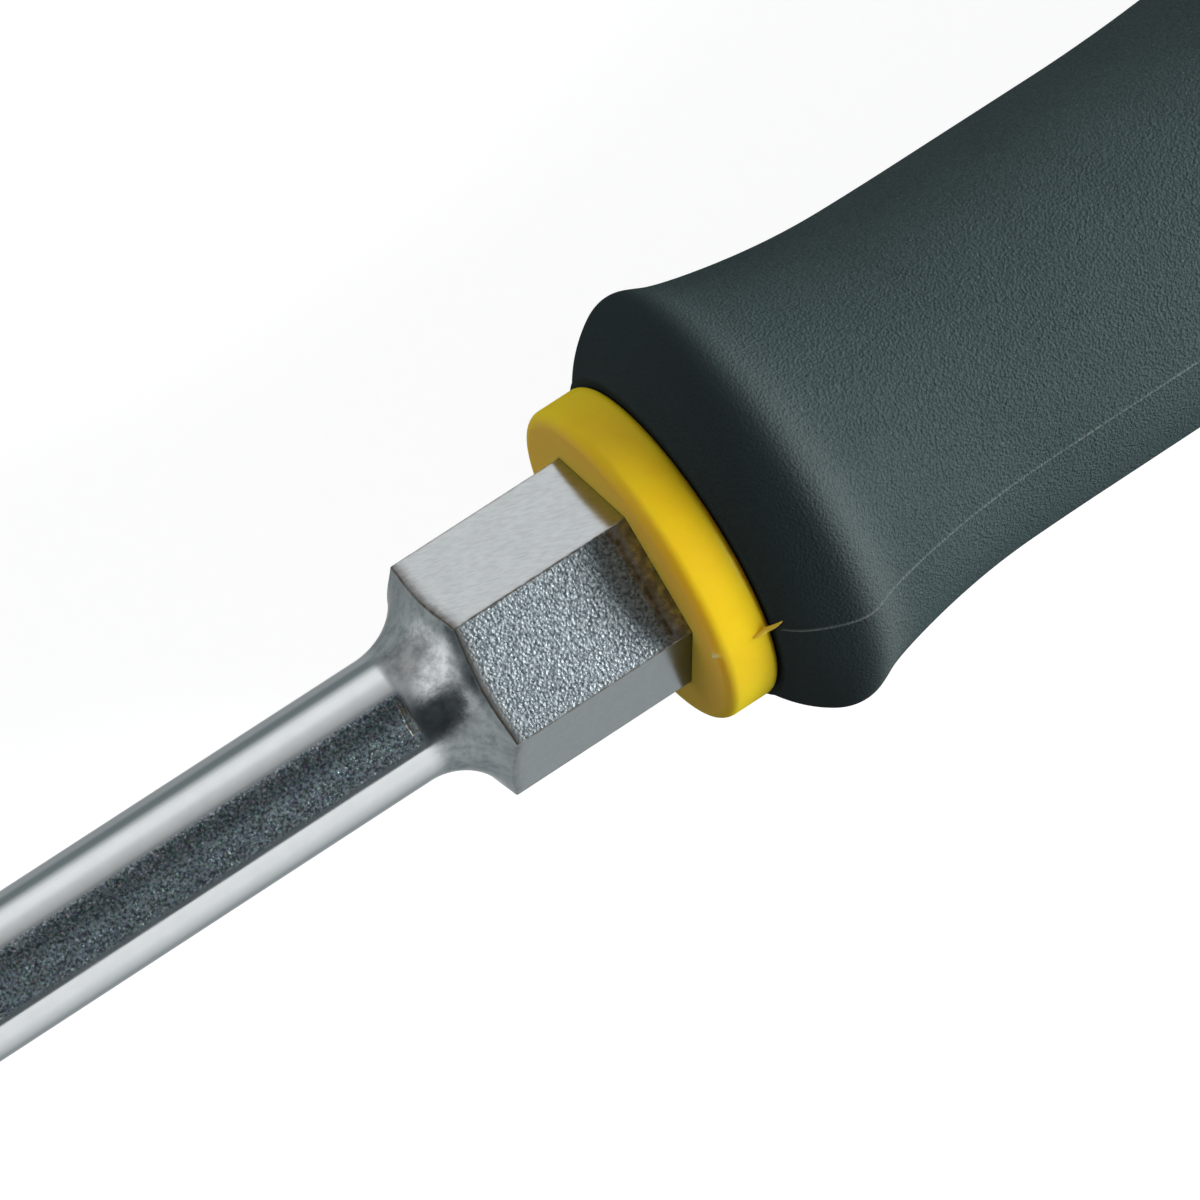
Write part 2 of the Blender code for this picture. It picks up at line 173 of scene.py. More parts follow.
class ScrewdriverSizes(bpy.types.PropertyGroup):
    """Lengths of the pieces that show"""

    shank_radius: length("Shank radius", "Radius of the round shank", 4.0 * MM)
    across_flats: length("Across flats", "Width of the hexagon bolster over two flats", 13.0 * MM)
    bolster_front: length("Bolster front", "Reach of the hexagon's front corners past the collar", 12.0 * MM)
    fillet: length("Fillet", "Radius of the forged hollow between shank and hexagon", 4.0 * MM)
    tip_length: length("Tip length", "Length of the forged and ground tip", 26.0 * MM)
    tip_width: length("Tip width", "Width of the working end", 8.0 * MM)
    tip_thickness: length("Tip thickness", "Thickness of the working end", 1.2 * MM)
    flare_width: length("Flare width", "Width of the tip where it is widest", 9.8 * MM)
    flare_from_tip: length("Flare place", "Distance of the widest place from the working end", 10.0 * MM)
    collar_radius: length("Collar radius", "Outside radius of the collar", 10.248 * MM)
    collar_thickness: length("Collar thickness", "Thickness of the collar in front of the grip", 3.6 * MM)
    neck_radius: length("Neck radius", "Radius of the grip at its narrowest", 11.12 * MM)
    guard_rise: length("Guard rise", "Height of the guard's crest over the neck", 2.5 * MM)
    guard_depth: length("Guard depth", "Depth of the guard's crest behind the collar's front", 7.7 * MM)
    belly_rise: length("Belly rise", "How much the handle swells over its neck", 6.65 * MM)
    belly_depth: length("Belly depth", "Depth of the handle's thickest place", 85.0 * MM)
    lobe_depth: length("Lobe depth", "Depth of the three hollows between the lobes", 2.4 * MM)
    rear_drop: length("Rear drop", "How much the handle narrows towards the butt", 1.6 * MM)
    butt_length: length("Butt length", "Length of the bare hard butt", 18.0 * MM)
    hole_radius: length("Hole radius", "Radius of the hanging hole", 3.5 * MM)
    hole_from_butt: length("Hole place", "Distance of the hanging hole's axis from the butt", 10.5 * MM)


class ScrewdriverColours(bpy.types.PropertyGroup):
    """Colours of the finishes and strength of the studio lights"""

    steel: colour("Steel", "Colour of the plated steel", (0.59, 0.615, 0.625))
    # Also the colour of painted shade on the blasted flats next to the collar and of painted dark reflections
    # along the hexagon's corners
    dark_lines_and_shade: colour("Dark lines and shade", "Colour of the thin dark lines along the bolster's edges", (0.11, 0.09, 0.065))
    yellow: colour("Yellow", "Colour of the hard plastic", (0.93, 0.64, 0.016))
    grip: colour("Grip", "Colour of the soft plastic", (0.043, 0.063, 0.065))
    floor: colour("Floor", "Colour of the floor as it lights the tool", (0.24, 0.24, 0.24))
    key_power: bpy.props.FloatProperty(
        name="Key power", description="Power of the key light in watts", default=7.8, min=0.0)
    studio_strength: bpy.props.FloatProperty(
        name="Studio strength", description="Strength of the soft light from the room", default=1.25, min=0.0)


def ease(value):
    """A smooth ramp from 0 to 1, level at both ends: 3 v squared less 2 v cubed."""
    value = np.clip(value, 0.0, 1.0)
    return value * value * (3.0 - 2.0 * value)


def bell(value, width):
    """A bell curve, 1 where the value is 0: e to the power of -(value / width) squared."""
    return np.exp(-(value / width)**2)


def mix(first, second, value):
    """A value between two others."""
    return first + (second - first) * value


def crowded(start, end, count):
    """Numbers from start to end that lie closer together at both ends, as a sine does."""
    return mix(start, end, (1.0 - np.cos(np.linspace(0.0, math.pi, count))) / 2)


def all_round(step):
    """Even turns all the way round, a step in degrees apart."""
    return np.radians(np.arange(0.0, 360.0, step))


def quarter(radius, count):
    """A quarter circle in two columns: r (1 - sin a) and r (1 - cos a), from a = 0 to a right angle."""
    bend = np.linspace(0.0, math.pi / 2, count)[:, None]
    return radius * (1 - np.sin(bend)), radius * (1 - np.cos(bend))


def carried(parts, turns):
    """Radii and depths of all rows, from parts whose radius and depth are spread over the turns."""
    grids = [np.broadcast_arrays(radius, depth, turns)[:2] for radius, depth in parts]
    return [np.vstack(grid) for grid in zip(*grids)]


def place(radius, turn, depth):
    """Points in the frame from a radius, a turn about the axis and a depth behind the collar's front."""
    radius, turn, depth = np.broadcast_arrays(radius, turn, depth)
    up = AXIS_HEIGHT + radius * np.cos(turn)
    return np.stack([COLLAR_X - depth, radius * np.sin(turn), up], axis=-1)


def add_object(name, data):
    """A new object in the scene for a mesh, a lamp or a camera."""
    added = bpy.data.objects.new(name, data)
    bpy.context.scene.collection.objects.link(added)
    return added


def skin(name, points, looped=False, marks=None):
    """A closed mesh from a grid of points, rows by columns by 3, whose columns run round the tool.

    Looped rows close on themselves like a ring; otherwise each end closes on the middle of its row.
    Marks are named numbers per grid point, kept as attributes for the material.
    """
    rows, columns = points.shape[:2]
    count = rows * columns
    index = np.arange(count).reshape(rows, columns)
    following = np.roll(index, -1, axis=1)
    lower = np.roll(index, -1, axis=0) if looped else index[1:]
    lower_following = np.roll(following, -1, axis=0) if looped else following[1:]
    upper, upper_following = (index, following) if looped else (index[:-1], following[:-1])
    quads = np.stack([upper, upper_following, lower_following, lower], axis=-1).reshape(-1, 4)
    vertices = points.reshape(-1, 3)
    triangles = np.zeros((0, 3), int)
    if not looped:
        vertices = np.vstack([vertices, points[0].mean(axis=0), points[-1].mean(axis=0)])
        first = np.stack([following[0], index[0], np.full(columns, count)], axis=-1)
        last = np.stack([index[-1], following[-1], np.full(columns, count + 1)], axis=-1)
        triangles = np.vstack([first, last])
    halves = np.vstack([quads[:, [0, 1, 2]], quads[:, [0, 2, 3]], triangles])
    corners = vertices[halves]
    volume = np.einsum("ij,ij->i", corners[:, 0], np.cross(corners[:, 1], corners[:, 2])).sum()
    if volume < 0:
        quads = quads[:, ::-1]
        triangles = triangles[:, ::-1]

    mesh = bpy.data.meshes.new(name)
    mesh.from_pydata(vertices, [], quads.tolist() + triangles.tolist())
    mesh.polygons.foreach_set("use_smooth", np.ones(len(mesh.polygons), bool))
    for mark, values in (marks or {}).items():
        attribute = mesh.attributes.new(mark, "FLOAT", "POINT")
        flat = np.broadcast_to(values, (rows, columns)).reshape(-1)
        if not looped:
            flat = np.append(flat, [flat[0], flat[-1]])
        attribute.data.foreach_set("value", flat.astype(np.float32))
    mesh.update()
    return add_object(name, mesh)


def finish_piece(piece, colours, finish, slot, *nodes):
    """Give a piece its finish, which is made only once, and hide the CAD nodes that it stands for; the slot
    is not used.
    """
    made = bpy.data.materials.get(finish.__name__)
    piece.data.materials.append(made if made else finish(colours))
    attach(piece, "root")
    if nodes:
        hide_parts(*nodes)
    return piece


class Wires:
    """The nodes of one material. A socket given as an input is linked, and a number is set."""

    def __init__(self, owner):
        """Start with an empty tree."""
        owner.use_nodes = True
        self.tree = owner.node_tree
        self.tree.nodes.clear()

    def add(self, kind, inputs=None, **settings):
        """A new node, with its sockets linked or set and its settings made."""
        node = self.tree.nodes.new(kind)
        for name, value in settings.items():
            setattr(node, name, value)
        for name, value in (inputs or {}).items():
            socket = node.inputs[name]
            if isinstance(value, bpy.types.NodeSocket):
                self.tree.links.new(value, socket)
            else:
                socket.default_value = value
        return node

    def place(self):
        """The point in the piece's own space, which is the frame."""
        return self.add("ShaderNodeTexCoord").outputs["Object"]

    def mark(self, name):
        """A number kept on the mesh."""
        return self.add("ShaderNodeAttribute", attribute_name=name).outputs["Fac"]

    def maths(self, operation, *values, clamp=False):
        """A number worked out from others by one of the Math node's operations."""
        inputs = dict(enumerate(values))
        return self.add("ShaderNodeMath", inputs, operation=operation, use_clamp=clamp).outputs[0]

    def vectors(self, operation, *values):
        """A direction or colour worked out from others by one of the Vector Math node's operations."""
        return self.add("ShaderNodeVectorMath", dict(enumerate(values)), operation=operation).outputs[0]

    def dot(self, point, direction):
        """How far a point lies along a fixed direction."""
        node = self.add("ShaderNodeVectorMath", {0: point, 1: direction}, operation="DOT_PRODUCT")
        return node.outputs["Value"]

    def stretch(self, point, scale, turn):
        """A point turned and then scaled, for a pattern that is longer one way."""
        turned = self.add("ShaderNodeMapping", {"Vector": point, "Rotation": turn})
        return self.add("ShaderNodeMapping", {"Vector": turned.outputs[0], "Scale": scale}).outputs[0]

    def noise(self, point, scale, detail=2.0, roughness=0.5):
        """A soft random number about 0.5."""
        inputs = {"Vector": point, "Scale": scale, "Detail": detail, "Roughness": roughness}
        return self.add("ShaderNodeTexNoise", inputs).outputs["Fac"]

    def cells(self, point, scale):
        """The distance to the nearest of many scattered points."""
        return self.add("ShaderNodeTexVoronoi", {"Vector": point, "Scale": scale}).outputs["Distance"]

    def ramp(self, value, stops):
        """A number turned into another by (place, value) stops."""
        node = self.add("ShaderNodeValToRGB", {"Fac": value})
        elements = node.color_ramp.elements
        while len(elements) < len(stops):
            elements.new(1.0)
        for element, (position, level) in zip(elements, stops):
            element.position = position
            element.color = (level, level, level, 1.0)
        return node.outputs["Color"]

    def blend(self, value, first, second):
        """A colour between two others."""
        inputs = {"Factor": value, 6: first, 7: second}
        return self.add("ShaderNodeMix", inputs, data_type="RGBA").outputs[2]

    def bump(self, height, distance, normal=None):
        """A normal tilted by a height that is 1 for one distance."""
        inputs = {"Height": height, "Distance": distance, "Strength": 1.0}
        if normal is not None:
            inputs["Normal"] = normal
        return self.add("ShaderNodeBump", inputs).outputs[0]

    def facets(self, point, scale, tilt, normal):
        """A normal tilted at random in each of many small cells, and each cell's random colour."""
        cell = self.add("ShaderNodeTexVoronoi", {"Vector": point, "Scale": scale}).outputs["Color"]
        lean = self.vectors("MULTIPLY_ADD", cell, (2.0, 2.0, 2.0), (-1.0, -1.0, -1.0))
        cube = self.vectors("MULTIPLY", self.vectors("MULTIPLY", lean, lean), lean)
        push = self.add("ShaderNodeVectorMath", {0: cube, "Scale": tilt}, operation="SCALE").outputs[0]
        return self.vectors("NORMALIZE", self.vectors("ADD", normal, push)), cell

    def principled(self, inputs):
        """The shader of most surfaces."""
        return self.add("ShaderNodeBsdfPrincipled", inputs).outputs[0]

    def coated(self, inputs, colour, roughness):
        """A plastic with no gloss of its own and a weak one added over it."""
        body = self.principled({**inputs, "Specular IOR Level": 0.0})
        coat = {"Color": four(colour), "Roughness": roughness, "Normal": inputs["Normal"]}
        gloss = self.add("ShaderNodeBsdfGlossy", coat).outputs[0]
        return self.add("ShaderNodeAddShader", {0: body, 1: gloss}).outputs[0]

    def surface(self, shader):
        """The material's output."""
        self.add("ShaderNodeOutputMaterial", {"Surface": shader})


def four(values, gain=1.0):
    """A colour with full alpha, made darker by a gain, or lighter but never past white."""
    limit = max(1.0, *values)
    return (*[min(value * gain, limit) for value in values], 1.0)


def steel_finish(colours):
    """Plated steel: bright and smooth on the shank, brushed or blasted on the bolster's flats.

    Marks, each from 0 to 1: "blast" where the forging skin is left rough, "ground" on the brushed
    flats, "flake" on the scaly strip along the shank, "forge" in the hollow, "tone_and_shade" where the
    steel is darker, as a darker finish and as painted shade and painted dark reflections, and
    "dark_lines_and_shade" on dark lines along the folds and edges and on painted shade and painted dark
    reflections along the bolster.
    """
    material = bpy.data.materials.new("steel_finish")
    wires = Wires(material)
    point = wires.place()
    blast, ground, flake = wires.mark("blast"), wires.mark("ground"), wires.mark("flake")
    forge, tone_and_shade, dark_lines_and_shade = wires.mark("forge"), wires.mark("tone_and_shade"), wires.mark("dark_lines_and_shade")

    pits = wires.cells(point, 5200.0)
    soft_pits = wires.noise(point, 5200.0, 3.0, 0.6)
    rough_height = wires.maths("ADD", wires.maths("MULTIPLY", pits, 0.9), soft_pits)
    rough_height = wires.maths("MULTIPLY", rough_height, wires.maths("MULTIPLY_ADD", flake, 0.25, blast))
    lines = wires.noise(wires.stretch(point, (900.0, 5200.0, 5200.0), (0.0, 0.0, 0.5)), 1.0, 3.0, 0.6)
    hammered = wires.maths("MULTIPLY", wires.noise(point, 620.0, 4.0, 0.6), forge)
    normal = wires.bump(wires.noise(point, 160.0, 2.0, 0.5), 0.012 * MM)
    normal = wires.bump(wires.maths("MULTIPLY", lines, ground), 0.003 * MM, normal)
    normal = wires.bump(hammered, 0.035 * MM, normal)
    normal = wires.bump(rough_height, 0.026 * MM, normal)
    normal, spark = wires.facets(point, 8800.0, wires.maths("MULTIPLY", flake, 0.12), normal)

    tint = wires.blend(wires.ramp(wires.noise(point, 900.0, 3.0), [(0.35, 0.0), (0.7, 1.0)]),
                       four(colours.steel, 0.95), four(colours.steel))
    pebbled = wires.blend(wires.ramp(soft_pits, [(0.36, 0.0), (0.62, 1.0)]),
                          four((0.12, 0.145, 0.158)), four((0.44, 0.50, 0.53)))
    speckled = wires.blend(wires.ramp(soft_pits, [(0.38, 0.0), (0.60, 1.0)]),
                           four((0.10, 0.15, 0.17)), four((0.80, 0.91, 0.96)))
    mottle = wires.ramp(wires.noise(point, 1300.0, 4.0, 0.65), [(0.42, 0.0), (0.70, 0.62)])
    brushed = wires.ramp(lines, [(0.38, 0.0), (0.66, 0.22)])
    patchy = wires.ramp(wires.noise(point, 1800.0, 2.0), [(0.3, 0.35), (0.6, 1.0)])
    # Dark lines, painted dark reflections and painted shade, in patches
    dark = wires.maths("MULTIPLY", dark_lines_and_shade, patchy, clamp=True)
    tint = wires.blend(blast, tint, pebbled)
    tint = wires.blend(flake, tint, speckled)
    # Darker steel: a darker finish in the hollow and on the ground flats, and painted shade: dark reflections
    # painted along the shank and a darker tone on the two flats at the sides
    tint = wires.blend(tone_and_shade, tint, four((0.125, 0.149, 0.155)))
    tint = wires.blend(wires.maths("MULTIPLY", mottle, forge), tint, four((0.07, 0.09, 0.10)))
    tint = wires.blend(wires.maths("MULTIPLY", brushed, ground), tint, four(colours.steel, 0.3))
    tint = wires.blend(wires.maths("MULTIPLY", flake, 0.12), tint, spark)
    tint = wires.blend(dark, tint, four(colours.dark_lines_and_shade))

    roughness = wires.maths("MULTIPLY_ADD", wires.noise(point, 500.0, 3.0, 0.6), 0.08, 0.07)
    for mark, gain in ((ground, 0.02), (blast, 0.34), (flake, 0.10), (tone_and_shade, 0.10), (forge, 0.10)):
        roughness = wires.maths("MULTIPLY_ADD", mark, gain, roughness)
    roughness = wires.maths("MULTIPLY_ADD", dark, 0.3, roughness, clamp=True)
    inputs = {"Base Color": tint, "Metallic": 1.0, "Roughness": roughness, "Normal": normal,
              "Specular Tint": four((0.5, 0.52, 0.53))}
    wires.surface(wires.principled(inputs))
    return material


def yellow_finish(colours):
    """Hard yellow plastic: a satin moulded skin with slight cloudiness under it.

    Marks, each from 0 to 1: "deep" on the butt, whose yellow is painted darker as shade,
    "painted_front_shade" on the front of the collar, painted a deeper orange as shade,
    "pale_spot_and_light" on pale spots and on the nib, where it is painted light, and "thin" on flash
    too thin for light to spread in.
    """
    material = bpy.data.materials.new("yellow_finish")
    wires = Wires(material)
    point = wires.place()
    deeper = [colours.yellow[0] * 0.94, colours.yellow[1] * 0.90, colours.yellow[2]]
    cloud = wires.ramp(wires.noise(point, 260.0, 3.0, 0.55), [(0.3, 0.0), (0.7, 1.0)])
    tint = wires.blend(cloud, four(deeper), four(colours.yellow))
    # Painted shade: the butt's yellow is made darker, as it faces the key light
    tint = wires.blend(wires.mark("deep"), tint, four(colours.yellow, 0.72))
    # Painted shade: the collar's front face is tinted a deeper orange, as shaded yellow plastic looks
    tint = wires.blend(wires.maths("MULTIPLY", wires.mark("painted_front_shade"), 0.75), tint, four((1.0, 0.51, 0.08)))
    # Pale spots: the gate mark, and a little painted light on the nib
    tint = wires.blend(wires.mark("pale_spot_and_light"), tint, four((1.0, 0.92, 0.55)))
    normal = wires.bump(wires.noise(point, 420.0, 2.0, 0.5), 0.03 * MM)
    normal = wires.bump(wires.noise(point, 3600.0, 3.0, 0.6), 0.006 * MM, normal)
    roughness = wires.maths("MULTIPLY_ADD", wires.noise(point, 700.0, 3.0), 0.14, 0.38)
    depth_of_light = wires.maths("MULTIPLY_ADD", wires.mark("thin"), -0.8, 0.8)
    inputs = {"Base Color": tint, "Roughness": roughness, "Normal": normal, "IOR": 1.47,
              "Subsurface Weight": depth_of_light, "Subsurface Radius": (1.0, 0.70, 0.22),
              "Subsurface Scale": 1.6 * MM}
    wires.surface(wires.coated(inputs, (0.010, 0.010, 0.010), 0.36))
    return material


def grip_finish(colours):
    """Soft dark plastic: a fine leathery grain, faint cloudiness and a few pale specks.

    Marks, each from 0 to 1: "front" on the smoother front of the guard, painted darker as shade,
    "crest_highlight" along its crest, painted paler as a highlight, and "seam" on the pale parting line.
    """
    material = bpy.data.materials.new("grip_finish")
    wires = Wires(material)
    point = wires.place()
    front = wires.mark("front")
    cloud = wires.ramp(wires.noise(point, 140.0, 3.0, 0.55), [(0.3, 0.0), (0.7, 1.0)])
    grain = wires.noise(point, 6200.0, 3.0, 0.6)
    specks = wires.ramp(wires.cells(point, 1900.0), [(0.0, 1.0), (0.06, 0.6), (0.11, 0.0)])
    dusty = wires.ramp(wires.noise(point, 900.0, 1.0), [(0.46, 0.0), (0.58, 1.0)])
    specks = wires.maths("MULTIPLY", wires.maths("MULTIPLY", specks, dusty), 0.45)
    tint = wires.blend(cloud, four(colours.grip), four(colours.grip, 1.22))
    tint = wires.blend(wires.ramp(grain, [(0.35, 0.0), (0.72, 0.62)]), tint, four(colours.grip, 2.1))
    tint = wires.blend(specks, tint, four((0.36, 0.40, 0.40)))
    # Painted shade: the guard's front, turned away from the key light, is made darker
    tint = wires.blend(front, tint, four(colours.grip, 0.52))
    # Painted highlight: a paler band along the guard's crest
    tint = wires.blend(wires.mark("crest_highlight"), tint, four((0.15, 0.165, 0.165)))
    seam = wires.maths("MULTIPLY", wires.mark("seam"), 0.65, clamp=True)
    tint = wires.blend(seam, tint, four((0.23, 0.26, 0.25)))
    height = wires.maths("ADD", wires.maths("MULTIPLY", wires.cells(point, 5600.0), 0.6), grain)
    height = wires.maths("MULTIPLY", height, wires.maths("MULTIPLY_ADD", front, -0.5, 1.0))
    normal = wires.bump(height, 0.15 * MM)
    roughness = wires.maths("MULTIPLY_ADD", grain, 0.16, 0.52)
    inputs = {"Base Color": tint, "Roughness": roughness, "Normal": normal, "IOR": 1.5}
    wires.surface(wires.coated(inputs, (0.0075, 0.0082, 0.0084), 0.42))
    return material


def hexagon_radius(turn, across_flats, edge):
    """Radius of a hexagon with a corner straight up.

    On a flat it is the flat's distance over the cosine of the turn from its middle; at a corner it
    is the far side of a small circle that touches both flats.
    """
    flat = across_flats / 2
    from_middle = np.abs(turn % SIXTH - SIXTH / 2)
    from_corner = SIXTH / 2 - from_middle
    centre = (flat - edge) / math.cos(SIXTH / 2)
    inside = np.maximum(edge**2 - (centre * np.sin(from_corner))**2, 0.0)
    corner = centre * np.cos(from_corner) + np.sqrt(inside)
    last = math.atan((flat - edge) * math.tan(SIXTH / 2) / flat)
    return np.where(from_middle < last, flat / np.cos(from_middle), corner)


def hexagon_turns(across_flats, edge, extra):
    """Turns for the columns of a piece with a hexagon.

    They are crowded at the ends of each flat and even on each corner's arc.
    """
    flat = across_flats / 2
    half = (flat - edge) * math.tan(SIXTH / 2)
    on_flat = np.arctan2(crowded(-half, half, 24), flat) + SIXTH / 2
    bend = np.linspace(-SIXTH / 2, SIXTH / 2, 8)[1:-1]
    centre = (flat - edge) / math.cos(SIXTH / 2)
    on_corner = np.arctan2(edge * np.sin(bend), centre + edge * np.cos(bend))
    sixth = np.concatenate([on_flat, on_corner])
    turns = (sixth[None, :] + SIXTH * np.arange(6)[:, None]).ravel() % math.tau
    return np.unique(np.round(np.concatenate([turns, np.asarray(extra) % math.tau]), 7))


def tip_rows(sizes, turns, shares):
    """Sections of the tip, share 0 at the working end and 1 at the shank.

    Each is a superellipse: its point lies along (cosine, sine) of the turn, shrunk so that the
    powers of both sum to 1, then scaled by the half width and half thickness. The width swells
    to the flare and the power falls from 14 to 2 on the way to the round shank.
    """
    flare = sizes.flare_from_tip / sizes.tip_length
    root = sizes.shank_radius
    first = mix(sizes.tip_width / 2, sizes.flare_width / 2, ease(shares / flare))
    second = mix(sizes.flare_width / 2, root, ease((shares - flare) / (1.0 - flare)))
    half_width = np.where(shares < flare, first, second)[:, None]
    half_thickness = mix(sizes.tip_thickness / 2, root, ease(shares))[:, None]
    power = mix(2.0, 14.0, (1.0 - shares)**2)[:, None]
    up = np.cos(turns)
    side = np.sin(turns)
    shrink = (np.abs(up)**power + np.abs(side)**power)**(1.0 / power)
    reach = BLADE_REACH - sizes.tip_length * shares
    x = np.broadcast_to(COLLAR_X + reach[:, None], shrink.shape)
    return np.stack([x, half_thickness * side / shrink, AXIS_HEIGHT + half_width * up / shrink], axis=-1)


def fillet_rows(sizes, turns):
    """Rows of the forged hollow and of its small rounded edge with the flats, as radii and reaches.

    The hollow is an arc, radius = shank + fillet (1 - cos a), reach = start - deep sin a, from a = 0
    on the shank to the angle where each column meets the hexagon. Deep goes from the hollow's start to
    the front line, which wanders along the tool by a cosine of the turn.
    """
    size = sizes.fillet
    hexagon = hexagon_radius(turns, sizes.across_flats, HEX_EDGE)
    front = sizes.bolster_front - FRONT_WANDER + FRONT_WANDER * np.cos(turns - FRONT_WANDER_TURN)
    start = sizes.bolster_front + size
    deep = start - front
    end = np.arccos(1.0 - (hexagon - sizes.shank_radius) / size)
    last = end - HEX_EDGE / size
    angles = last * np.linspace(0.0, 1.0, HOLLOW_ROWS)[:, None]
    radius = sizes.shank_radius + size * (1.0 - np.cos(angles))
    reach = start - deep * np.sin(angles)
    edge_reach = start - deep * np.sin(end)
    bend = np.linspace(0.0, 1.0, EDGE_ROWS + 1)[1:, None]
    early, middle, late = (1 - bend)**2, 2 * bend * (1 - bend), bend**2
    curve_radius = early * radius[-1] + middle * hexagon + late * hexagon
    curve_reach = early * reach[-1] + middle * edge_reach + late * (edge_reach - HEX_EDGE)
    return np.vstack([radius, curve_radius]), np.vstack([reach, curve_reach]), edge_reach


def fold_lines(behind, turns):
    """Two shallow folds of the forging skin where the hollow starts, as numbers from 0 to 1.

    Each is a bell curve across that fades at both ends and wavers along the tool by a sine of the turn.
    """
    turns = turns % math.tau
    ends = ease((turns - math.radians(4.0)) / 0.12) * ease((math.radians(44.0) - turns) / 0.2)
    first = bell(behind + 0.10 * MM - 0.09 * MM * np.sin(9.0 * turns), 0.07 * MM)
    second = bell(behind - 0.32 * MM - 0.07 * MM * np.sin(7.0 * turns + 1.0), 0.06 * MM)
    return ends * np.maximum(first, 0.8 * second)


def build_blade(sizes, colours):
    """The forging in one skin: cap, tip, shank, hollow, hexagon, seat, tang with wings, and end."""
    corners = math.pi / 4 + math.pi / 2 * np.arange(4)
    extra = (corners[:, None] + np.radians([-1.6, -0.8, -0.3, 0.0, 0.3, 0.8, 1.6])[None, :]).ravel()
    turns = hexagon_turns(sizes.across_flats, HEX_EDGE, extra)

    edge_share = TIP_EDGE / sizes.tip_length
    shares = np.concatenate([[edge_share], np.linspace(edge_share * 3, 1.0, 56)])
    tip = tip_rows(sizes, turns, shares)
    face = tip_rows(sizes, turns, np.array([0.0]))[0]
    middle = np.array([face[0, 0], 0.0, AXIS_HEIGHT])
    inset = 1.0 - TIP_EDGE / np.array([sizes.tip_thickness / 2, sizes.tip_width / 2])
    rim = middle + (face - middle) * np.concatenate([[1.0], inset])
    cap = [middle + (rim - middle) * np.array([1.0, grow, grow]) for grow in (0.3, 0.6, 0.85, 0.97)]
    cap = np.stack(cap + [rim])

    fillet_radius, fillet_reach, edge_reach = fillet_rows(sizes, turns)
    start = sizes.bolster_front + sizes.fillet
    fine = start + 0.5 * MM
    shank_reach = np.concatenate([np.linspace(BLADE_REACH - sizes.tip_length, fine, 70)[1:],
                                  np.linspace(fine, start, 14)[1:-1]])[:, None]
    shank_fold = fold_lines(start - shank_reach, turns)
    shank = place(sizes.shank_radius - FOLD_DEPTH * shank_fold, turns, -shank_reach)
    fold = fold_lines(start - fillet_reach, turns)
    fillet = place(fillet_radius - FOLD_DEPTH * fold, turns, -fillet_reach)

    hexagon = hexagon_radius(turns, sizes.across_flats, HEX_EDGE)
    step = 1.0 * MM
    fall = np.linspace(0.0, 1.0, 26)[1:, None]
    near_collar = np.linspace(SMOOTH_FOOT, 0.0, 24)[1:, None]
    toward_collar = mix(edge_reach - HEX_EDGE, SMOOTH_FOOT, fall)
    _, flats_reach = carried([(hexagon, toward_collar), (hexagon, near_collar), (hexagon, -step)], turns)
    flats = place(hexagon, turns, -flats_reach)

    seat = hexagon_radius(turns, sizes.across_flats - 2 * SEAT_DROP, HEX_EDGE)
    to_side = WING_HALF_THICKNESS / np.maximum(np.abs(np.sin(turns)), 1e-6)
    wing = np.minimum(WING_HALF_SPAN / np.maximum(np.abs(np.cos(turns)), 1e-6), to_side)
    wing = np.maximum(wing, TANG_RADIUS)
    radius, depth = carried([
        (seat, step), (seat, SEATED), (TANG_RADIUS, SEATED), (TANG_RADIUS, WING_FRONT),
        (wing, WING_FRONT + WING_BEVEL), (wing, WING_REAR - WING_BEVEL), (TANG_RADIUS, WING_REAR),
        (TANG_RADIUS, TANG_END - TANG_CHAMFER), (TANG_RADIUS - TANG_CHAMFER, TANG_END)], turns)
    tang = place(radius, turns, depth)

    rows = [cap, tip, shank, fillet, flats, tang]
    starts = np.cumsum([0] + [len(part) for part in rows])
    cap_rows, _, shank_rows, fillet_part, flats_rows, _ = map(slice, starts[:-1], starts[1:])
    hollow_rows = slice(fillet_part.start, fillet_part.stop - EDGE_ROWS)
    points = np.concatenate(rows)
    names = ("blast", "flake", "ground", "forge", "dark_lines_and_shade", "tone_and_shade")
    marks = {name: np.zeros(points.shape[:2]) for name in names}

    rough_side = ease((np.abs(np.cos(turns - SIXTH / 2)) - FLAT_START) / FLAT_FADE)
    low_side = ease((np.abs(np.sin(turns)) - FLAT_START) / FLAT_FADE)
    blasted = ease((flats_reach - BLAST_END) / (0.25 * MM)) * rough_side
    marks["blast"][flats_rows] = blasted
    marks["ground"][flats_rows] = 1.0 - blasted
    marks["ground"][cap_rows] = 1.0

    strip = ease((np.abs(np.cos(turns - STRIP_TURN)) - STRIP_START) / STRIP_FADE)
    marks["flake"][shank_rows] = strip
    strip_end = slice(fillet_part.start, fillet_part.start + STRIP_ROWS)
    marks["flake"][strip_end] = strip * np.linspace(1.0, 0.0, STRIP_ROWS)[:, None]

    # The shank is painted darker by turn: painted dark reflections along it
    signed = np.degrees((turns + math.pi) % math.tau - math.pi)
    shank_painted_shade = np.interp(signed, SHANK_PAINTED_SHADE[:, 0], SHANK_PAINTED_SHADE[:, 1])
    begin = ease(np.linspace(0.0, 4.0, len(fillet)))[:, None]
    rows_down = np.linspace(0.0, 1.0, len(fillet))[:, None]
    # Painted highlight: where the hollow faces up, in its half nearer the shank, it is made less dark
    facing_up = ease((np.cos(turns - math.radians(5.0)) - 0.74) / 0.2)
    lighter = 0.8 * facing_up * (1.0 - ease((rows_down - 0.55) / 0.3))
    marks["tone_and_shade"][shank_rows] = shank_painted_shade
    marks["tone_and_shade"][fillet_part] = mix(shank_painted_shade, HOLLOW_TONE - 0.9 * lighter, begin)
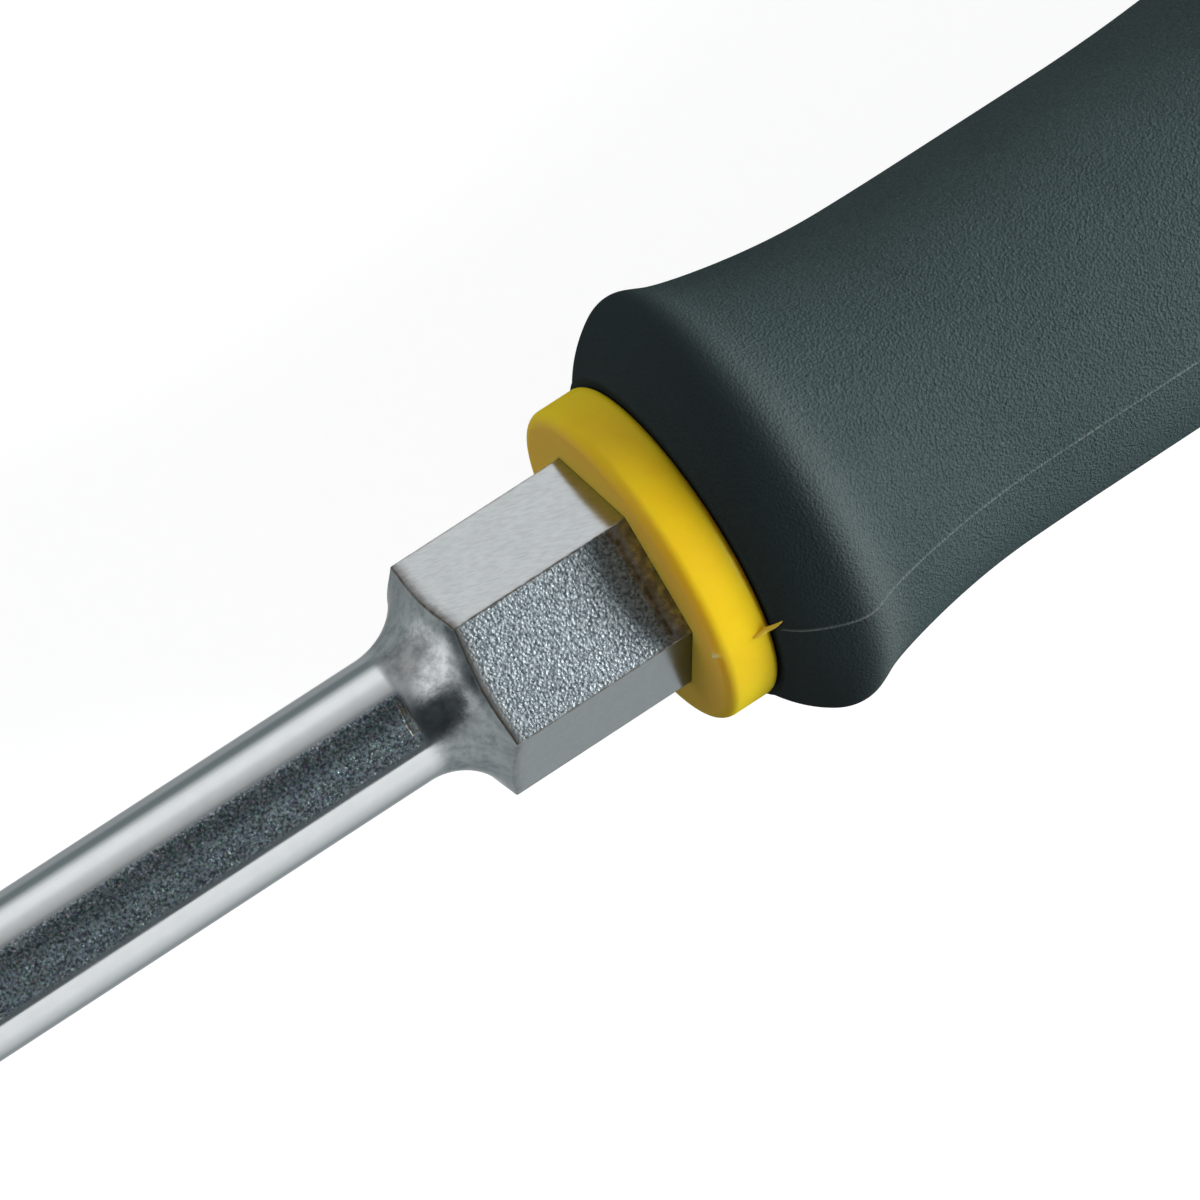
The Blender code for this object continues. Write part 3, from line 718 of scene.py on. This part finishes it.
    # The two flats at the sides get painted shade on top of the ground flats' darker finish
    marks["tone_and_shade"][flats_rows] = GROUND_TONE * (1.0 - rough_side) + SIDE_SHADE * low_side
    marks["forge"][fillet_part] = begin

    # Dark lines and painted shade: painted dark reflections along the hexagon's corners, painted shade on the
    # blasted flats next to the collar and at their corners there, dark lines along the folds, and a dark line
    # along the bolster's front edge that is fainter on the flats at the sides
    corner = np.exp(-((turns % SIXTH - SIXTH / 2)**2 - (SIXTH / 2)**2)**2 / 0.00012)
    foot = bell(flats_reach - BLAST_END, 0.3 * MM) * rough_side
    foot = np.maximum(foot, 0.75 * ease((1.7 * MM - flats_reach) / (0.7 * MM)) * rough_side)
    foot_corner = bell(flats_reach - BLAST_END, 0.5 * MM) * bell(np.sin(turns), 0.16)
    front_line = np.array([0.3, 0.9, 1.0, 1.0, 0.9, 0.6, 0.3])[:, None] * (1.0 - 0.75 * low_side)
    marks["dark_lines_and_shade"][shank_rows] = 2.2 * shank_fold
    marks["dark_lines_and_shade"][hollow_rows] = 2.2 * fold[:-EDGE_ROWS]
    marks["dark_lines_and_shade"][flats_rows] = np.maximum(0.9 * corner, np.maximum(foot, foot_corner * rough_side))
    marks["dark_lines_and_shade"][hollow_rows.stop:flats_rows.start + 1] = front_line
    piece = skin("forged_blade", points, marks=marks)
    return finish_piece(piece, colours, steel_finish, "plated_steel", "blade")


def build_collar(sizes, colours):
    """The ring and its hub as one looped skin: a profile carried round the axis, with a hexagon hole.

    Along the parting line the profile is pushed out into a low crease, and a gate mark, a small
    bump that falls away as a bell curve, stands on the front rim beside a shallow scratch.
    """
    near_seam = SEAM_TURN + np.radians(np.arange(-3.0, 3.01, 0.3))
    extra = np.concatenate([near_seam, near_seam + math.pi, all_round(2.5)])
    turns = hexagon_turns(sizes.across_flats, HEX_EDGE, extra)
    hole = hexagon_radius(turns, sizes.across_flats + 0.04 * MM, HEX_EDGE)
    outside = sizes.collar_radius
    thick = sizes.collar_thickness
    mouth_in, mouth_back = quarter(MOUTH_ROUND, 6)
    rear_in, rear_ahead = quarter(COLLAR_REAR_ROUND, 9)
    front_back, front_in = quarter(COLLAR_FRONT_ROUND, 17)
    bore_depth = np.array([0.3 * MM, 1.5 * MM, 4.0 * MM, HUB_REAR])[:, None]
    side_depth = np.linspace(thick - COLLAR_REAR_ROUND, COLLAR_FRONT_ROUND, 18)[1:-1, None]
    fall = np.linspace(0.0, 1.0, 12)[1:-1, None]
    radius, depth = carried([
        (hole + mouth_in, mouth_back), (hole, bore_depth), (HUB_RADIUS, HUB_REAR), (HUB_RADIUS, thick),
        (outside - COLLAR_REAR_ROUND - 0.05 * MM, thick), (outside - rear_in, thick - rear_ahead),
        (outside, side_depth), (outside - front_in, front_back),
        (mix(outside - COLLAR_FRONT_ROUND, hole + MOUTH_ROUND, fall), 0.0)], turns)
    across = radius * np.sin(turns - SEAM_TURN)
    along = radius * np.cos(turns - SEAM_TURN)
    crease = bell(across, 0.10 * MM) * ease((depth - 1.2 * MM) / (1.6 * MM)) * (along > 9.5 * MM)
    radius = radius + SEAM_HEIGHT * crease
    from_gate = (across + GATE_ASIDE)**2 + (along - GATE_OUT)**2
    gate = np.exp(-from_gate / GATE_WIDTH**2) * (depth < 0.5 * MM)
    depth = depth - GATE_HEIGHT * gate
    along_rim = ease((turns - SCRATCH_START) / 0.03) * ease((SCRATCH_END - turns) / 0.15)
    scratch = bell(radius - SCRATCH_OUT, 0.07 * MM) * along_rim * (depth < 0.6 * MM)
    depth = depth + SCRATCH_DEPTH * scratch
    # Painted shade: the front face, from just inside the rim to the hole, is tinted a deeper orange
    painted_front_shade = ease((outside + 0.1 * MM - radius) / (0.9 * MM)) * (depth < 0.8 * MM)
    # The gate mark is paler
    marks = {"pale_spot_and_light": 0.8 * gate, "painted_front_shade": painted_front_shade}
    piece = skin("yellow_collar", place(radius, turns, depth), looped=True, marks=marks)
    return finish_piece(piece, colours, yellow_finish, "yellow_plastic", "collar")


def guard_radius(sizes, depth, turn):
    """Radius of the round front of the handle.

    It is the sum of the outline's slopes, counted from the neck and scaled to the guard's rise. The
    crest wanders along the tool by a cosine of twice the turn, and this fades at the seat and neck.
    """
    depths = np.linspace(GUARD_SLOPES[0, 0], GUARD_SLOPES[-1, 0], 600) * MM
    slopes = np.interp(depths, GUARD_SLOPES[:, 0] * MM, GUARD_SLOPES[:, 1])
    rise = np.concatenate([[0.0], np.cumsum((slopes[1:] + slopes[:-1]) / 2 * np.diff(depths))])
    rise = (rise - rise[-1]) * sizes.guard_rise / (rise.max() - rise[-1])
    crest = depths[rise.argmax()]
    fade = ease((depth - SEAT_DEPTH) / (crest - SEAT_DEPTH))
    fade = fade * (1.0 - ease((depth - crest) / (HOLLOW_END - crest)))
    shift = sizes.guard_depth - crest + CREST_BACK + CREST_WANDER * np.cos(2 * (turn - CREST_TURN))
    return sizes.neck_radius + np.interp(depth - shift * fade, depths, rise)


def handle_radius(sizes, depth, turn):
    """Radius of the whole handle: the guard's, plus a swell, less three hollows and a rounded end."""
    swell = ease((depth - NECK_END) / (sizes.belly_depth - NECK_END))
    drop = ease((depth - sizes.belly_depth) / (HANDLE_LENGTH - sizes.belly_depth))
    lobes = sizes.lobe_depth * swell * (1.0 - np.cos(3 * turn)) / 2
    radius = guard_radius(sizes, depth, turn) + sizes.belly_rise * swell - sizes.rear_drop * drop - lobes
    into = np.clip(depth - (HANDLE_LENGTH - BUTT_ROUND), 0.0, BUTT_ROUND)
    return radius - BUTT_ROUND + np.sqrt(BUTT_ROUND**2 - into**2)


def seam_ridge(radius, turns, depth, height, width):
    """Height of the parting line: a bell curve across it, uneven along it by two slow sines."""
    across = radius * np.sin(turns - SEAM_TURN)
    uneven = 0.75 + 0.25 * np.sin(depth / (2.3 * MM)) * np.sin(depth / (0.71 * MM) + 1.0)
    return height * uneven * bell(across, width)


def build_grip(sizes, colours):
    """The soft sleeve as one looped skin: its outside from the guard to the butt, then its bore back."""
    aside = np.radians([0.1, 0.2, 0.35, 0.5, 0.7, 0.9, 1.2, 1.6])
    near_seam = SEAM_TURN + np.concatenate([-aside[::-1], [0.0], aside])
    turns = np.concatenate([all_round(1.5), near_seam, near_seam + math.pi])
    turns = np.unique(np.round(turns % math.tau, 7))
    front = sizes.collar_thickness + 0.02 * MM
    start = sizes.collar_thickness + WALL_GAP
    end = HANDLE_LENGTH - sizes.butt_length
    outside = np.concatenate([
        np.linspace(start, 11.0 * MM, 66)[1:], np.linspace(11.0 * MM, HOLLOW_END, 30)[1:],
        np.linspace(HOLLOW_END, NECK_END, 12)[1:], np.linspace(NECK_END, sizes.belly_depth, 44)[1:],
        np.linspace(sizes.belly_depth, end - JOIN_ROUND, 20)[1:]])[:, None]
    skin_radius = handle_radius(sizes, outside, turns)
    ridge = seam_ridge(skin_radius, turns, outside, SEAM_HEIGHT, 0.075 * MM)

    seat = sizes.collar_radius + GUARD_SEAT_LIP
    bore = HUB_RADIUS + WALL_GAP
    lip_in, lip_back = [column[:-1] for column in quarter(GUARD_EDGE, 6)]
    tail_ahead, tail_in = [column[1:] for column in quarter(JOIN_ROUND, 6)]
    inner_depth = np.append(np.linspace(end, NECK_END, 10), BORE_END)[:, None]
    under_wall = handle_radius(sizes, inner_depth, turns) - GRIP_WALL
    inner_radius = np.where(inner_depth < NECK_END - 1.0 * MM, bore, under_wall)
    before = [(bore, front), (mix(bore, seat - GUARD_EDGE, 0.5), front), (seat - lip_in, front + lip_back)]
    after = [(handle_radius(sizes, end, turns) - tail_in, end - tail_ahead), (inner_radius, inner_depth)]
    radius, depth = carried([*before, (skin_radius + ridge, outside), *after], turns)

    seam = np.zeros_like(radius)
    lead = 2 + len(lip_in)
    seam[lead:lead + len(outside)] = ridge / SEAM_HEIGHT
    # Painted shade on the guard's front, which is also smoother, fading from FRONT_END on
    smooth_and_shaded_front = 1.0 - ease((depth - FRONT_END) / (2.2 * MM))
    # Painted highlight along the crest, strongest at the parting line's turn and fading round to the far side
    crest_highlight = 0.3 * bell(depth - CREST_HIGHLIGHT_DEPTH, 1.5 * MM)
    crest_highlight = crest_highlight * ((1.0 + np.cos(turns - SEAM_TURN)) / 2)**2
    marks = {"seam": seam, "front": smooth_and_shaded_front, "crest_highlight": crest_highlight}
    piece = skin("soft_grip_sleeve", place(radius, turns, depth), looped=True, marks=marks)
    return finish_piece(piece, colours, grip_finish, "soft_grip", "grip")


def build_core(sizes, colours):
    """The hard core in one skin: a neck and body inside the grip, then the bare butt and its dimple.

    Round the hanging hole the butt's surface falls towards the tool's axis along a quarter circle,
    and a round cutter then opens the hole itself.
    """
    turns = all_round(1.5)
    seat = HANDLE_LENGTH - sizes.butt_length + WALL_GAP
    front = HUB_REAR + WALL_GAP
    inside = np.linspace(NECK_END, seat, 16)[:, None]
    body = handle_radius(sizes, inside, turns) - (GRIP_WALL + WALL_GAP)
    join_in, join_back = quarter(JOIN_ROUND, 6)
    round_start = HANDLE_LENGTH - BUTT_ROUND
    bare = np.linspace(seat + JOIN_ROUND, round_start, 56)[1:, None]
    curve = round_start + BUTT_ROUND * np.sin(np.linspace(0.0, math.pi / 2, 40)[1:, None])
    shown = np.vstack([bare, curve])
    shown_radius = handle_radius(sizes, shown, turns)
    grow = np.array([0.85, 0.6, 0.4, 0.26, 0.24, 0.22, 0.2, 0.1])[:, None]
    sink = np.array([0.0, 0.0, 0.0, 0.0, 0.06, 0.25, 0.3, 0.3])[:, None] * MM
    radius, depth = carried([
        (HUB_RADIUS * 0.5, front), (HUB_RADIUS, front), (HUB_RADIUS, BORE_END), (body, inside),
        (handle_radius(sizes, seat, turns) - join_in, seat + join_back), (shown_radius, shown),
        (shown_radius[-1] * grow, HANDLE_LENGTH - sink)], turns)

    points = place(radius, turns, depth)
    hole_depth = HANDLE_LENGTH - sizes.hole_from_butt
    along = points[..., 0] - (COLLAR_X - hole_depth)
    up = points[..., 2] - AXIS_HEIGHT
    from_hole = np.hypot(along, up)
    into = np.clip(sizes.hole_radius + HOLE_MOUTH - from_hole, 0.0, HOLE_MOUTH)
    fall = HOLE_MOUTH - np.sqrt(HOLE_MOUTH**2 - into**2)
    points[..., 1] -= np.sign(points[..., 1]) * fall
    # The whole butt is marked "deep": its yellow is painted darker as shade
    piece = skin("core_and_butt", points, marks={"deep": np.ones(points.shape[:2])})
    cutter = rod("hole_cutter", sizes.hole_radius + 0.05 * MM, COLLAR_X - hole_depth, CUTTER_REACH)
    cut(piece, cutter)
    return finish_piece(piece, colours, yellow_finish, "yellow_plastic", "core")


def rod(name, radius, x, half_length):
    """A round rod across the tool, its rows at both ends and its columns round a level axis."""
    turns = all_round(3.75)
    reach = np.linspace(-half_length, half_length, 9)[:, None]
    ahead, up = x + radius * np.cos(turns), AXIS_HEIGHT + radius * np.sin(turns)
    return skin(name, np.stack(np.broadcast_arrays(ahead, reach, up), axis=-1))


def cut(piece, cutter):
    """Take a cutter's solid out of a piece and keep the result as the piece's mesh."""
    step = piece.modifiers.new("Cut", "BOOLEAN")
    step.operation = "DIFFERENCE"
    step.object = cutter
    step.solver = "EXACT"
    evaluated = piece.evaluated_get(bpy.context.evaluated_depsgraph_get())
    mesh = bpy.data.meshes.new_from_object(evaluated)
    piece.modifiers.clear()
    old = piece.data
    piece.data = mesh
    mesh.name = old.name
    bpy.data.meshes.remove(old)
    leftover = cutter.data
    bpy.data.objects.remove(cutter)
    bpy.data.meshes.remove(leftover)
    mesh.shade_smooth()
    mesh.set_sharp_from_angle(angle=math.radians(40.0))


def build_nib(sizes, colours):
    """The small nib of flash at the collar's rear edge: a flat spindle along the parting line.

    Its width and height follow the sine of the way along it, and its rear end is drawn out.
    """
    turns = all_round(15.0)
    way = np.linspace(0.02, 0.98, 25)[:, None]
    swell = np.sin(math.pi * way**0.7)**0.8
    depth = mix(2.3 * MM, 4.05 * MM, way)
    lift = sizes.collar_radius + np.interp(way, [0.0, 0.5, 1.0], [0.0, 0.22 * MM, 1.0 * MM])
    bent = SEAM_TURN - math.radians(0.8) - math.radians(4.0) * way**2
    half_width = mix(0.10 * MM, 0.21 * MM, way) * swell
    half_height = 0.20 * MM * swell
    across = half_width * np.cos(turns)
    out = lift + half_height * np.sin(turns)
    radius = np.hypot(out, across)
    turn = bent + np.arctan2(across, out)
    # Painted light: the nib is made a little paler, since light does not spread in it
    marks = {"thin": np.ones_like(radius), "pale_spot_and_light": np.full_like(radius, 0.1)}
    piece = skin("flash_nib", place(radius, turn, depth), marks=marks)
    return finish_piece(piece, colours, yellow_finish, "yellow_plastic")


# The camera: how the tool's axis lies in the picture and how far off it is
AXIS_SLOPE = math.radians(33.025)
AXIS_LEAN = math.radians(12.810)
CAMERA_DISTANCE = 519.2 * MM
CAMERA_ACROSS = 1.3985 * MM
CAMERA_UP = 1.6713 * MM
CAMERA_LENS = 274.8
KEY_DIRECTION = Vector((-0.74, 0.56, 0.38))
KEY_DISTANCE = 0.8
KEY_SIZE = 0.35


def build_camera():
    """The camera, from the tip's direction in the picture: its slope on the page and its lean out of it."""
    down = math.sin(AXIS_SLOPE) * math.cos(AXIS_LEAN)
    tip = Vector((-math.cos(AXIS_SLOPE) * math.cos(AXIS_LEAN), -down, math.sin(AXIS_LEAN)))
    rise = math.atan2(down, math.sin(AXIS_LEAN))
    up = Vector((0.0, math.cos(rise), math.sin(rise)))
    side = up.cross(tip)
    right = Vector((tip.x, side.x, up.x))
    above = Vector((tip.y, side.y, up.y))
    back = Vector((tip.z, side.z, up.z))
    middle = Vector((COLLAR_X, 0.0, AXIS_HEIGHT)) - right * CAMERA_ACROSS - above * CAMERA_UP
    data = bpy.data.cameras.new("portrait_camera")
    data.lens = CAMERA_LENS
    data.sensor_width = 36.0
    data.clip_start = 0.01
    data.clip_end = 100.0
    camera = add_object("portrait_camera", data)
    turned = Matrix((right, above, back)).transposed().to_4x4()
    camera.matrix_world = Matrix.Translation(middle + back * CAMERA_DISTANCE) @ turned
    bpy.context.scene.camera = camera


def build_key(colours):
    """One large soft lamp, low behind the handle's near side."""
    lamp = bpy.data.lights.new("key_light", "AREA")
    lamp.shape = "DISK"
    lamp.size = KEY_SIZE
    lamp.energy = colours.key_power
    light = add_object("key_light", lamp)
    direction = KEY_DIRECTION.normalized()
    light.location = Vector((COLLAR_X, 0.0, AXIS_HEIGHT)) + direction * KEY_DISTANCE
    light.rotation_euler = direction.to_track_quat("Z", "Y").to_euler()


def build_world(colours):
    """The room, by direction: a tall soft window beside the tool, a haze with a soft box ahead of it.

    Behind the butt there is a dim glow. The dim parts of the room are slightly cooler.
    """
    world = bpy.data.worlds.new("studio_room")
    bpy.context.scene.world = world
    wires = Wires(world)
    direction = wires.add("ShaderNodeTexCoord").outputs["Generated"]
    parts = wires.add("ShaderNodeSeparateXYZ", {"Vector": direction}).outputs
    across = wires.maths("MULTIPLY_ADD", parts["Y"], 0.5, 0.5)
    lengthwise = wires.maths("MULTIPLY_ADD", parts["X"], 0.5, 0.5)
    aside = wires.maths("MULTIPLY_ADD", wires.dot(direction, (0.351, 0.936, -0.031)), 0.5, 0.5)
    window = wires.ramp(across, [
        (0.0, 0.90), (0.05, 1.0), (0.10, 0.95), (0.155, 0.70), (0.22, 0.56), (0.285, 0.42), (0.355, 0.12),
        (0.42, 0.04), (0.56, 0.035), (0.65, 0.055), (0.745, 0.13), (0.86, 0.12), (0.945, 0.10), (1.0, 0.11)])
    dim = wires.ramp(lengthwise, [(0.0, 0.50), (0.16, 0.40), (0.26, 0.08), (1.0, 0.06)])
    haze = wires.ramp(aside, [
        (0.11, 0.32), (0.25, 0.38), (0.35, 0.35), (0.5, 0.30), (0.6, 0.20), (0.7, 0.07), (0.75, 0.045),
        (1.0, 0.045)])
    box = wires.ramp(aside, [
        (0.35, 0.0), (0.425, 0.18), (0.5, 0.75), (0.62, 0.75), (0.665, 0.38), (0.71, 0.18), (0.76, 0.0)])
    box = wires.maths("MULTIPLY", box, wires.ramp(lengthwise, [(0.6, 0.0), (0.8, 1.0)]))
    beside = wires.ramp(lengthwise, [(0.24, 0.0), (0.33, 1.0), (0.45, 1.0), (0.54, 0.0)])
    in_front = wires.ramp(lengthwise, [(0.45, 0.0), (0.54, 1.0)])
    level = wires.blend(in_front, wires.blend(beside, dim, window), wires.maths("ADD", haze, box))
    cooler = wires.add("ShaderNodeMix", {"Factor": 1.0, 6: level, 7: four((0.84, 1.0, 1.10))},
                       data_type="RGBA", blend_type="MULTIPLY").outputs[2]
    level = wires.blend(wires.ramp(level, [(0.05, 1.0), (0.35, 0.0)]), level, cooler)
    background = wires.add("ShaderNodeBackground", {"Color": level, "Strength": colours.studio_strength})
    wires.add("ShaderNodeOutputWorld", {"Surface": background.outputs[0]})


def build_floor(colours):
    """A wide pale disc. What looks at it directly or in the metal sees it near white, with soft shadows."""
    turns = all_round(5.0)
    radius = np.array([0.05, 0.15, 0.4, 1.0, 3.0, 10.0])[:, None]
    x = radius * np.cos(turns)
    y = radius * np.sin(turns)
    rows, columns = x.shape
    index = np.arange(rows * columns).reshape(rows, columns)
    following = np.roll(index, -1, axis=1)
    quads = np.stack([index[:-1], index[1:], following[1:], following[:-1]], axis=-1).reshape(-1, 4)
    middle = np.stack([index[0], following[0], np.full(columns, rows * columns)], axis=-1)
    vertices = np.stack([x.ravel(), y.ravel(), np.zeros(x.size)], axis=-1)
    vertices = np.vstack([vertices, np.zeros((1, 3))])
    mesh = bpy.data.meshes.new("studio_floor")
    mesh.from_pydata(vertices, [], quads.tolist() + middle.tolist())
    mesh.update()

    material = bpy.data.materials.new("pale_floor")
    wires = Wires(material)
    point = wires.place()
    paths = wires.add("ShaderNodeLightPath").outputs
    seen = wires.maths("ADD", paths["Is Camera Ray"], paths["Is Glossy Ray"])
    seen = wires.maths("ADD", seen, paths["Is Transmission Ray"], clamp=True)
    tooth = wires.ramp(wires.noise(point, 900.0, 2.0), [(0.0, 0.98), (1.0, 1.0)])
    plain = wires.add("ShaderNodeBsdfDiffuse", {"Color": four(colours.floor)}).outputs[0]
    lit = wires.add("ShaderNodeBsdfDiffuse", {"Color": four((0.42, 0.42, 0.42))}).outputs[0]
    glow = wires.add("ShaderNodeEmission", {"Color": tooth, "Strength": 0.82}).outputs[0]
    bright = wires.add("ShaderNodeAddShader", {0: lit, 1: glow}).outputs[0]
    wires.surface(wires.add("ShaderNodeMixShader", {0: seen, 1: plain, 2: bright}).outputs[0])
    mesh.materials.append(material)
    floor = add_object("studio_floor", mesh)


def settings(context):
    """The sizes and colours that the user has set."""
    return context.scene.screwdriver_sizes, context.scene.screwdriver_colours


class MakeBlade(bpy.types.Operator):
    """Build the forged blade with its tip, shank, hexagon bolster and tang"""

    bl_idname = "screwdriver.make_blade"
    bl_label = "Forged blade"

    def execute(self, context):
        build_blade(*settings(context))
        return {"FINISHED"}


class MakeCollar(bpy.types.Operator):
    """Build the yellow collar with its gate mark, and the nib of flash behind it"""

    bl_idname = "screwdriver.make_collar"
    bl_label = "Collar"

    def execute(self, context):
        build_collar(*settings(context))
        build_nib(*settings(context))
        return {"FINISHED"}


class MakeGrip(bpy.types.Operator):
    """Build the soft grip with its guard, neck, lobes and parting line"""

    bl_idname = "screwdriver.make_grip"
    bl_label = "Soft grip"

    def execute(self, context):
        build_grip(*settings(context))
        return {"FINISHED"}


class MakeCore(bpy.types.Operator):
    """Build the hard core, which shows as the butt with its hanging hole"""

    bl_idname = "screwdriver.make_core"
    bl_label = "Core and butt"

    def execute(self, context):
        build_core(*settings(context))
        return {"FINISHED"}


class MakeStage(bpy.types.Operator):
    """Set up the floor, the lights and the camera"""

    bl_idname = "screwdriver.make_stage"
    bl_label = "Stage"

    def execute(self, context):
        _, colours = settings(context)
        build_camera()
        build_key(colours)
        build_world(colours)
        build_floor(colours)
        context.scene.view_settings.view_transform = "Standard"
        return {"FINISHED"}


STEPS = (MakeBlade, MakeCollar, MakeGrip, MakeCore, MakeStage)


class ScrewdriverPanel(bpy.types.Panel):
    """Lists the steps that build the screwdriver"""

    bl_idname = "VIEW3D_PT_bolster_screwdriver"
    bl_label = "Bolster screwdriver"
    bl_space_type = "VIEW_3D"
    bl_region_type = "UI"
    bl_category = "Screwdriver"

    def draw(self, context):
        for step in STEPS:
            self.layout.operator(step.bl_idname)
        for group in settings(context):
            box = self.layout.box()
            for name in group.__annotations__:
                box.prop(group, name)


CLASSES = (ScrewdriverSizes, ScrewdriverColours, *STEPS, ScrewdriverPanel)


def register():
    """Tell Blender of the classes and hang the sizes and colours on the scene."""
    for one in CLASSES:
        bpy.utils.register_class(one)
    bpy.types.Scene.screwdriver_sizes = bpy.props.PointerProperty(type=ScrewdriverSizes)
    bpy.types.Scene.screwdriver_colours = bpy.props.PointerProperty(type=ScrewdriverColours)


def unregister():
    """Undo what register did."""
    del bpy.types.Scene.screwdriver_colours
    del bpy.types.Scene.screwdriver_sizes
    for one in reversed(CLASSES):
        bpy.utils.unregister_class(one)


def main():
    """Build everything in order."""
    register()
    bpy.ops.screwdriver.make_blade()
    bpy.ops.screwdriver.make_collar()
    bpy.ops.screwdriver.make_grip()
    bpy.ops.screwdriver.make_core()
    bpy.ops.screwdriver.make_stage()


if __name__ == "__main__":
    main()
